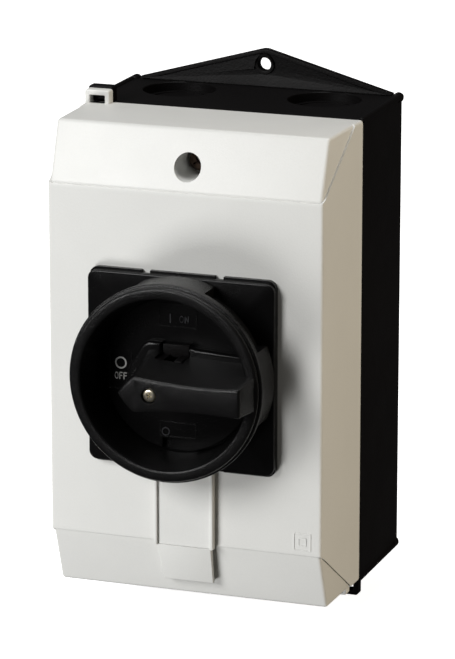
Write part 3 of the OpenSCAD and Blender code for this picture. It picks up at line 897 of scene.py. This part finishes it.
z0, z1 = DIAL_FACE - 0.02, DIAL_FACE + INK
printed = bmesh.new()
ring_mark(printed, -20.4, 2.3, 2.1, 0.55, z0, z1)
word(printed, "OFF", -20.4, -2.2, 2.1, 0.95, z0, z1)
piece("dial_printed_marks", printed, "cover_set", DIAL_INK)
moulded = bmesh.new()
word(moulded, "ON", 2.3, 19.2, 2.1, 1.15, z0, z1 + MARK_RISE)
word(moulded, "I", -2.6, 19.2, 2.6, 0.6, z0, z1 + MARK_RISE)
ring_mark(moulded, -4.4, -20.1, 1.5, 0.42, z0, z1 + MARK_RISE)
piece("dial_moulded_marks", moulded, "cover_set", FAINT_INK)
frames = bmesh.new()
for left, right, low, high in ((-24.6, -16.2, -6.9, 6.9), (-6.9, 6.9, 16.2, 24.4),
                               (-6.6, 6.6, -23.6 + 1.6, -16.4)):
    one = bmesh.new()
    middle = ((left + right) / 2, (low + high) / 2)
    outer = rounded_rectangle((right - left) / 2, (high - low) / 2, 0.5, *middle, 3)
    inside = rounded_rectangle((right - left) / 2 - 0.5, (high - low) / 2 - 0.5, 0.3, *middle, 3)
    slab(one, [outer, inside], DIAL_FACE - 0.05, DIAL_FACE + FRAME_RISE, edge=0.1, steps=1)
    add_to(frames, one)
piece("dial_label_frames", frames, "cover_set", GRIP_BLACK)
print("dial marks: O OFF, I ON and one turning mark")

# %% [markdown]
# ## Ring handle
# The ring is a turned shape: its side profile is spun about the switch axis in steps of two
# degrees. Between its four lobes the drum is scalloped, so there the outer points of the drum
# move inwards. That leaves the rolled rim, which the fingers hold, whole all the way round.

# %% Ring
RING_R = 34.0
RIM_FRONT = handle.front - 13
BEAD_IN, BEAD_OUT = 29.2, 33.2
SHOULDER_Z = RIM_FRONT - 2.1
DRUM_R = 33.5
DRUM_BACK = plate.front + 0.8
SCALLOP_R = 30.2
SCALLOP_HALF = 21.5
SCALLOP_TOP = RIM_FRONT - 6.3
RING_STEPS = 180
profile = [(27.3, DRUM_BACK + 0.3), (BEAD_IN, RIM_FRONT - 1.4)]
profile += arc(BEAD_IN + 1.0, RIM_FRONT - 1.0, 1.0, 180, 90, 5)
profile += arc(BEAD_OUT - 1.3, RIM_FRONT - 1.3, 1.3, 90, 0, 6)
profile += [(BEAD_OUT, SHOULDER_Z + 0.2), (BEAD_OUT - 0.25, SHOULDER_Z)]
profile += arc(RING_R - 0.6, SHOULDER_Z - 0.7, 0.6, 90, 0, 4)
profile += [(RING_R, RIM_FRONT - 4.3), (RING_R - 0.2, RIM_FRONT - 4.6), (RING_R - 1, RIM_FRONT - 4.7),
            (RING_R - 1, RIM_FRONT - 5.4), (DRUM_R - 0.15, RIM_FRONT - 5.5),
            (DRUM_R, RIM_FRONT - 5.7), (DRUM_R, SCALLOP_TOP + 0.15),
            (DRUM_R - 0.02, SCALLOP_TOP - 0.2), (DRUM_R, DRUM_BACK + 0.3),
            (DRUM_R - 0.3, DRUM_BACK), (27.6, DRUM_BACK)]
bm = bmesh.new()
turned_part(bm, profile, segments=RING_STEPS)
for vert in bm.verts:
    radius = math.hypot(vert.co.x, vert.co.y)
    angle = math.degrees(math.atan2(vert.co.y, vert.co.x)) % 90
    if radius > 32 and vert.co.z < SCALLOP_TOP and abs(angle - 45) < SCALLOP_HALF:
        vert.co.x *= 1 - (DRUM_R - SCALLOP_R) / radius
        vert.co.y *= 1 - (DRUM_R - SCALLOP_R) / radius
piece("handle_ring", bm, "handle_set", GRIP_BLACK, ["rotary_handle"])
print("ring radius", RING_R, "rim at", round(RIM_FRONT, 1))

# %% [markdown]
# ## Grip
# The grip is a long wedge across the ring, pointed at one end, which shows the position. Its foot
# and its face have the same number of points, so the two outlines bridge into smooth flanks. The
# edges are then bevelled while each flank is still whole, and only after that is the tunnel for
# the padlock slide cut through: three planes divide the grip, what lies between them goes, and
# the two ragged sides are bridged through.

# %% Grip
GRIP_BACK = dial.front + 0.3
GRIP_FRONT = handle.front
TUNNEL_X, TUNNEL_TOP = 4.9, 99.2
SINK_R = 2.75


def sweep(start, middle, end, steps):
    """Points of the parabola that starts and ends at two points and passes a third halfway."""
    points = []
    for i in range(steps + 1):
        t = i / steps
        points.append(tuple(a * (1 - t) * (1 - 2 * t) + b * 4 * t * (1 - t) + c * t * (2 * t - 1)
                            for a, b, c in zip(start, middle, end)))
    return points


def two_sided(upper):
    """Closes an outline whose upper half runs from the left point to the right end."""
    lower = [(x, -y) for x, y in reversed(upper) if y > 0.01]
    return upper + lower


def grip_outline(tip, shoulder, waist, end):
    side = sweep(shoulder, waist, end, 14)
    return two_sided([tip, ((tip[0] + shoulder[0]) / 2 - 0.15, shoulder[1] / 2 + 0.15)] + side)


foot = grip_outline((-14.8, 0), (-9.5, 9.0), (12.2, 7.2), (33.0, 7.3))
face = grip_outline((-11.1, 0), (-5.6, 6.1), (13.2, 4.55), (31.4, 4.95))
bm = bmesh.new()
foot_edges = loop(bm, foot, GRIP_BACK)
face_edges = loop(bm, face, GRIP_FRONT)
bmesh.ops.bridge_loops(bm, edges=foot_edges + face_edges)
bmesh.ops.edgeloop_fill(bm, edges=foot_edges)
bmesh.ops.edgeloop_fill(bm, edges=face_edges)
bm.normal_update()


def grip_edge(edge):
    return sharp(edge) and max(v.co.z for v in edge.verts) > GRIP_BACK + 0.1


bevel_edges(bm, grip_edge, 0.95, 4)
bm.normal_update()
sink = open_holes(bm, flat_face(bm, 0.99), [circle(SINK_R, segments=40)])[0]
for radius, z in ((SINK_R - 0.15, GRIP_FRONT - 0.15), (SINK_R - 0.15, GRIP_FRONT - 2.8),
                  (1.6, GRIP_FRONT - 2.8), (1.6, TUNNEL_TOP + 1)):
    sink = pull(bm, sink, radius=radius, z=z)
bmesh.ops.edgeloop_fill(bm, edges=sink)
for x in (-TUNNEL_X, TUNNEL_X):
    cut(bm, (x, 0, 0), (1, 0, 0), keep_both=True)
cut(bm, (0, 0, TUNNEL_TOP), (0, 0, 1), keep_both=True)
inside = []
for face in bm.faces:
    middle = face.calc_center_bounds()
    if abs(middle.x) < TUNNEL_X and middle.z < TUNNEL_TOP:
        inside.append(face)
bmesh.ops.delete(bm, geom=inside, context="FACES")
ragged = [e for e in bm.edges if e.is_boundary and e.verts[0].co.y * e.verts[1].co.y > 0]
bmesh.ops.bridge_loops(bm, edges=ragged)
print("grip:", len(bm.faces), "faces,", sum(not e.is_manifold for e in bm.edges), "open edges")
piece("handle_grip", bm, "handle_set", GRIP_BLACK, crisp=math.radians(40))

# %% [markdown]
# A low plinth runs round the foot of the grip, parted in the middle by the tunnel. Its upper
# edge is rolled, so it catches a thin line of light.

# %% Plinth
PLINTH_TOP = 92.8
left_half = two_sided([(-17.4, 0), (-16.6, 2.4), (-12.6, 9.0), (-11.3, 10.7), (-9.4, 11.5),
                       (-TUNNEL_X, 11.4)])
right_half = [(TUNNEL_X, 11.2), (5.6, 10.6), (7.2, 10.1), (27.2, 8.9)]
right_half = right_half + [(x, -y) for x, y in reversed(right_half)]
bm = bmesh.new()
for outline in (left_half, right_half):
    half = bmesh.new()
    slab(half, [outline], GRIP_BACK, PLINTH_TOP, edge=1.4, steps=5)
    add_to(bm, half)
piece("handle_plinth", bm, "handle_set", SATIN_BLACK)
print("plinth up to", PLINTH_TOP)

# %% [markdown]
# ## Padlock slide
# The slide sits in the grip's tunnel. Pulled down, it shows a cross hole for a shackle. It is a
# fork whose prongs pass the handle's screw on both sides, and the cross hole is opened in both
# its flanks and bridged through. A low step across the ends of the prongs fills the tunnel's mouth.

# %% Slide
latch = bench_box("padlock_slide")
SHACKLE_R, SHACKLE_Y = 2.2, -5.2
STEP_Y = 10.8
bm = bmesh.new()
slide_w, slide_top, slot_half = latch.right, 7.3, 1.9
outline = [(-slide_w, latch.bottom + 0.5), (-slide_w + 0.5, latch.bottom),
           (slide_w - 0.5, latch.bottom), (slide_w, latch.bottom + 0.5), (slide_w, slide_top),
           (slot_half, slide_top), (slot_half, -2), (-slot_half, -2), (-slot_half, slide_top),
           (-slide_w, slide_top)]
slab(bm, [outline], latch.back, latch.front, edge=0.45)
step = bmesh.new()
slab(step, [[(-slide_w, slide_top - 1), (slide_w, slide_top - 1), (slide_w, STEP_Y),
             (-slide_w, STEP_Y)]], latch.back, PLINTH_TOP - 0.9, edge=0.3)
across = []
for turn, sign in ((-90, -1), (180, 1)):
    bm.transform(turned(turn, "Y"))
    bm.normal_update()
    spot = circle(SHACKLE_R, sign * (latch.back + latch.front) / 2, SHACKLE_Y, 32)
    across += open_holes(bm, flat_face(bm, 0.99), [spot])[0]
bmesh.ops.bridge_loops(bm, edges=across)
bm.transform(turned(-90, "Y"))
add_to(bm, step)
piece("slide_latch", bm, "slide", HOUSING_BLACK, ["padlock_slide"])
print("slide from", round(latch.bottom, 1), "to", round(slide_top, 1))

# %% [markdown]
# ## Base
# The base is a deep open box. Its walls are one stack of rounded rectangles, each bridged to the
# next: round the rear edge, up the outside, over the rim, down the inside past the ledge that
# carries the gasket, and along to the floor. The top and bottom walls are thicker, because the
# cable entries are sunk into them as round pockets whose thin web a fitter breaks out.

# %% Base walls
BASE_CORNER = 1.6
BACK_EDGE = 1.3
SHELF = 5.1
POCKET_WEB = 1.5
POCKET_DEPTH = 3.1
ENTRY_R, ENTRY_X, ENTRY_Z = 13.0, 26.5, 16.2
GROOVE_R = 10.4
HALF_BASE_W = cover.right
HALF_BASE_H = HALF_H


def rounded_box_ring(bm, inset_x, inset_y, z, radius):
    return loop(bm, rounded_rectangle(HALF_BASE_W - inset_x, HALF_BASE_H - inset_y, radius), z)


bm = bmesh.new()
back_arc = [(BACK_EDGE - a, BACK_EDGE + b) for a, b in arc(0, 0, BACK_EDGE, -90, 0, 4)]
levels = [(inset, inset, z, BASE_CORNER) for inset, z in back_arc]
levels += [(0, 0, base.front - 0.3, BASE_CORNER), (0.3, 0.3, base.front, BASE_CORNER)]
THICK = POCKET_DEPTH + POCKET_WEB
levels += [(WALL, WALL, base.front, 1.2), (WALL, WALL, gasket.back, 1.2),
           (SHELF, SHELF, gasket.back, 1.2), (SHELF, SHELF, gasket.back - 2, 1.2),
           (WALL, THICK, gasket.back - 2, 1.2), (WALL, THICK, 3.0, 1.2)]
rings = [rounded_box_ring(bm, *level[:3], level[3]) for level in levels]
for lower, upper in zip(rings, rings[1:]):
    stitched(bm, lower, upper)
for end in (rings[0], rings[-1]):
    bmesh.ops.edgeloop_fill(bm, edges=end)
bmesh.ops.recalc_face_normals(bm, faces=bm.faces)
print("base walls:", len(rings), "rings,", len(bm.faces), "faces")

# %% Cable entries
for quarter in (90, -90):
    bm.transform(turned(quarter, "X"))
    bm.normal_update()
    way = -1 if quarter > 0 else 1
    wall_faces = [f for f in bm.faces if f.normal.z > 0.99 and f.calc_center_median().z > HALF_BASE_H - 0.5]
    wall_face = max(wall_faces, key=lambda f: f.calc_area())
    spots = [(side * ENTRY_X, way * ENTRY_Z) for side in (1, -1)]
    rims = open_holes(bm, wall_face, [circle(ENTRY_R, x, y, 64) for x, y in spots])
    for rim, (x, y) in zip(rims, spots):
        floor = HALF_BASE_H - POCKET_DEPTH
        down = pull(bm, rim, radius=ENTRY_R - 0.25, z=HALF_BASE_H - 0.25, x=x, y=y)
        down = pull(bm, down, z=floor)
        for radius, z in ((GROOVE_R, floor), (GROOVE_R, floor - 0.5), (GROOVE_R - 0.9, floor - 0.5),
                          (GROOVE_R - 0.9, floor)):
            down = pull(bm, down, radius=radius, z=z, x=x, y=y)
        bmesh.ops.edgeloop_fill(bm, edges=down)
    bm.transform(turned(-quarter, "X"))
print("cable entries:", 4, "pockets,", POCKET_DEPTH, "mm deep")

# %% [markdown]
# Inside stand the pillars: two long ones that take the cover screws, two short ones under the
# switch and two posts under the earth terminal. Each is turned; the pillars have their screw holes left
# open, and the posts are solid.

# %% Pillars
def pillar(bm, x, y, top, radius, hole_r=0, hole_to=0):
    """Round pillar on the floor of the base, with a blind screw hole in its top."""
    one = bmesh.new()
    profile = [(0, 2), (radius, 2), (radius, top - 0.3), (radius - 0.3, top)]
    if hole_r:
        profile += [(hole_r, top), (hole_r, hole_to), (0, hole_to)]
    else:
        profile += [(0, top)]
    turned_part(one, profile, segments=32, about=(0, 0), closed=False)
    one.transform(moved(x, y))
    add_to(bm, one)


for side in (1, -1):
    pillar(bm, 0, side * SCREW_Y, base.front - 1, 4.5, 2.03, 28)
    pillar(bm, 0, side * 34, 8, 4.5, 1.7, 3)
    pillar(bm, -27 + side * 8, -58, 8, 3.6)
piece("base_housing", bm, "base", HOUSING_BLACK, ["base_box"])
print("base housing:", counts["base_housing"], "faces")

# %% [markdown]
# Two wide triangular lugs behind the top and bottom walls take the fixing screws. A straight line
# from the heel touches the round tip, so the angle where it meets the circle is worked out. The
# middle of each lug is let in a little, which leaves a raised rim all round.

# %% Fixing lugs
LUG_HEEL = (46.3, HALF_BASE_H + 0.6)
LUG_Y, LUG_R, LUG_HOLE_R, LUG_THICK = 89.0, 5.3, 2.3, 3.0
away = Vector(LUG_HEEL) - Vector((0, LUG_Y))
touch_at = math.degrees(math.atan2(away.y, away.x) + math.acos(LUG_R / away.length))
half_lug = [(LUG_HEEL[0], HALF_BASE_H - 1), LUG_HEEL]
outline = half_lug + arc(0, LUG_Y, LUG_R, touch_at, 180 - touch_at, 14)
outline += [(-x, y) for x, y in reversed(half_lug)]
bm = bmesh.new()
for half_turn in (0, 180):
    one = bmesh.new()
    top = slab(one, [outline, circle(LUG_HOLE_R, 0, LUG_Y, 32)], 0, LUG_THICK, edge=0.35)
    bmesh.ops.inset_region(one, faces=top, use_boundary=True, use_even_offset=True, thickness=0.8)
    bmesh.ops.inset_region(one, faces=top, use_boundary=True, use_even_offset=True,
                           thickness=0.25, depth=-0.6)
    one.transform(turned(half_turn))
    add_to(bm, one)
piece("fixing_lugs", bm, "base", HOUSING_BLACK)
print("lugs touch their tips at", round(touch_at, 1), "degrees")

# %% Corner rails and beads
bm = bmesh.new()
for sx in (1, -1):
    for sy in (1, -1):
        for x, y, radius, top in ((HALF_BASE_W - 0.7, HALF_BASE_H - 0.4, 1.2, base.front),
                                  (HALF_BASE_W - 1.3, HALF_BASE_H - 0.8, 1.8, 5.0)):
            one = bmesh.new()
            profile = [(0, 0.0), (radius - 0.4, 0.0), (radius, 0.4), (radius, top - 0.4),
                       (radius - 0.4, top), (0, top)]
            turned_part(one, profile, segments=24, closed=False)
            one.transform(moved(sx * x, sy * y))
            add_to(bm, one)
piece("corner_rails", bm, "base", HOUSING_BLACK)
print("corner rails and beads: 8")

# %% [markdown]
# ## Springs
# A coil spring is a small circle that turns about an axis and steps along it at the same time:
# spin does both when it is given a step as well as an angle. The contact springs lie along x
# behind the bridges, and the detent springs stand at 45 degrees behind the rollers.

# %% Coil springs
def spring(bm, place, radius, wire, length, coils):
    """Coil spring of a round wire; place lays its axis, which starts out along z."""
    one = bmesh.new()
    made = bmesh.ops.create_circle(one, segments=8, radius=wire, cap_ends=True,
                                   matrix=moved(radius, 0, wire) @ turned(90, "X"))
    steps = int(coils * 20)
    geom = made["verts"] + one.edges[:] + one.faces[:]
    bmesh.ops.spin(one, geom=geom, cent=(0, 0, 0), axis=(0, 0, 1), angle=2 * math.pi * coils,
                   steps=steps, dvec=(0, 0, (length - 2 * wire) / steps))
    one.transform(place)
    add_to(bm, one)


chamber_z = bench_box("lower_chamber").back
chamber_t = bench_box("upper_chamber").back - chamber_z
seat = bench_box("contact_springs")
spring_length = 4.2
bm = bmesh.new()
for level in range(2):
    z = chamber_z + level * chamber_t + 7.5
    for side in (1, -1):
        place = moved(side * (seat.right - spring_length), 0, z) @ turned(90 * side, "Y")
        spring(bm, place, 1.7, 0.24, spring_length, 4.5)
piece("contact_coils", bm, "base", SPRING_STEEL, ["contact_springs"])
WHEEL_Z = bench_box("detent_wheel").front - 9.5
bm = bmesh.new()
for angle in (-45, 45):
    place = turned(angle) @ moved(13.0, 0, 44.5) @ turned(90, "Y")
    spring(bm, place, 1.5, 0.24, 2.4, 3.5)
piece("detent_coils", bm, "base", SPRING_STEEL, ["detent_springs"])
print("springs: 4 behind the bridges, 2 behind the rollers")

# %% [markdown]
# ## Finishes on the model's own parts
# Everything else inside the box is shown as the model has it. Each part's record names a finish,
# and the same recipes go on here, so a strip of copper looks the same wherever it is. The shaft
# driver alone is painted blacker than its record says: it can be seen past the slide, and there the black
# paints the shade inside the grip's tunnel.

# %% Finish the remaining parts
FINISHES = {"black_housing": HOUSING_BLACK, "cover_grey": COVER_GREY, "black_satin": SATIN_BLACK,
            "chamber_plastic": CHAMBER_PLASTIC, "detent_plastic": DETENT_PLASTIC,
            "cam_plastic": CAM_PLASTIC, "seal_rubber": SEAL_RUBBER, "zinc_steel": ZINC_STEEL,
            "yellow_zinc": YELLOW_ZINC, "bronzed_steel": BRONZED_STEEL,
            "spring_steel": SPRING_STEEL, "copper_alloy": COPPER_ALLOY,
            "terminal_brass": TERMINAL_BRASS}
for subpart in frame["record"]["subparts"]:
    part = frame["nodes"][subpart["node"]]
    part.data.materials.clear()
    part.data.materials.append(FINISHES[subpart["material_slot"]])
# Painted shade: the driver gets satin black instead of its own finish, so the tunnel past the slide reads
# dark.
frame["nodes"]["shaft_driver"].data.materials[0] = SATIN_BLACK

# %% [markdown]
# ## Floor and light
# The switch stands on a pale floor that also fills the background. It is lit from the left by one
# large soft panel, so the front of the cover fades gently to the right, its upper slope is
# brightest and the side wall falls into shade. A weak warm panel on the right keeps detail there.

# %% Floor
FLOOR_Z = cad_box[0][2] - 0.0002
bm = bmesh.new()
bmesh.ops.create_grid(bm, x_segments=1, y_segments=1, size=6, matrix=moved(z=FLOOR_Z))
floor_mesh = bpy.data.meshes.new("floor")
bm.to_mesh(floor_mesh)
bm.free()
floor_finish = Recipe("pale_floor", Base_Color=rgb(0.9, 0.9, 0.9), Roughness=0.9,
                      Emission_Color=rgb(1, 1, 1), Emission_Strength=0.9)
floor_mesh.materials.append(floor_finish.material)
floor_object = bpy.data.objects.new("floor", floor_mesh)
scene.collection.objects.link(floor_object)
floor_object.visible_diffuse = False
floor_object.visible_glossy = False
floor_object.visible_shadow = False
print("floor at", round(FLOOR_Z, 4))


# %% Light panels
def panel(name, place, target, width, height, watts, colour=(1, 1, 1)):
    """Soft rectangular light, not seen itself."""
    data = bpy.data.lights.new(name, "AREA")
    data.shape = "RECTANGLE"
    data.size = width
    data.size_y = height
    data.energy = watts
    data.color = colour
    light = aimed(name, data, place, target)
    light.visible_camera = False
    return light


def around(azimuth, elevation, distance):
    return AIM + distance * direction(math.radians(azimuth), math.radians(elevation))


WARM = (1.0, 0.87, 0.68)
panel("key_panel", around(-30, 25, 2.6), AIM, 1.0, 1.2, 58)
panel("top_panel", around(-10, 87, 1.6), AIM, 1.0, 0.5, 14)
low = panel("low_panel", around(-34, -32, 2.6), AIM, 1.2, 1.0, 47)
right = panel("right_panel", around(94, 6, 1.6), AIM, 0.6, 1.0, 17.5, WARM)
low.visible_glossy = False
right.visible_glossy = False
world = bpy.data.worlds.new("studio")
scene.world = world
world.use_nodes = True
sky = world.node_tree.nodes["Background"]
sky.inputs["Color"].default_value = rgb(1, 1, 1)
sky.inputs["Strength"].default_value = 0.045
scene.view_settings.view_transform = "Standard"
print("four panels and a dim even sky")

# %% [markdown]
# ## Size
# The dressed model must still fill the same box as the plain one.
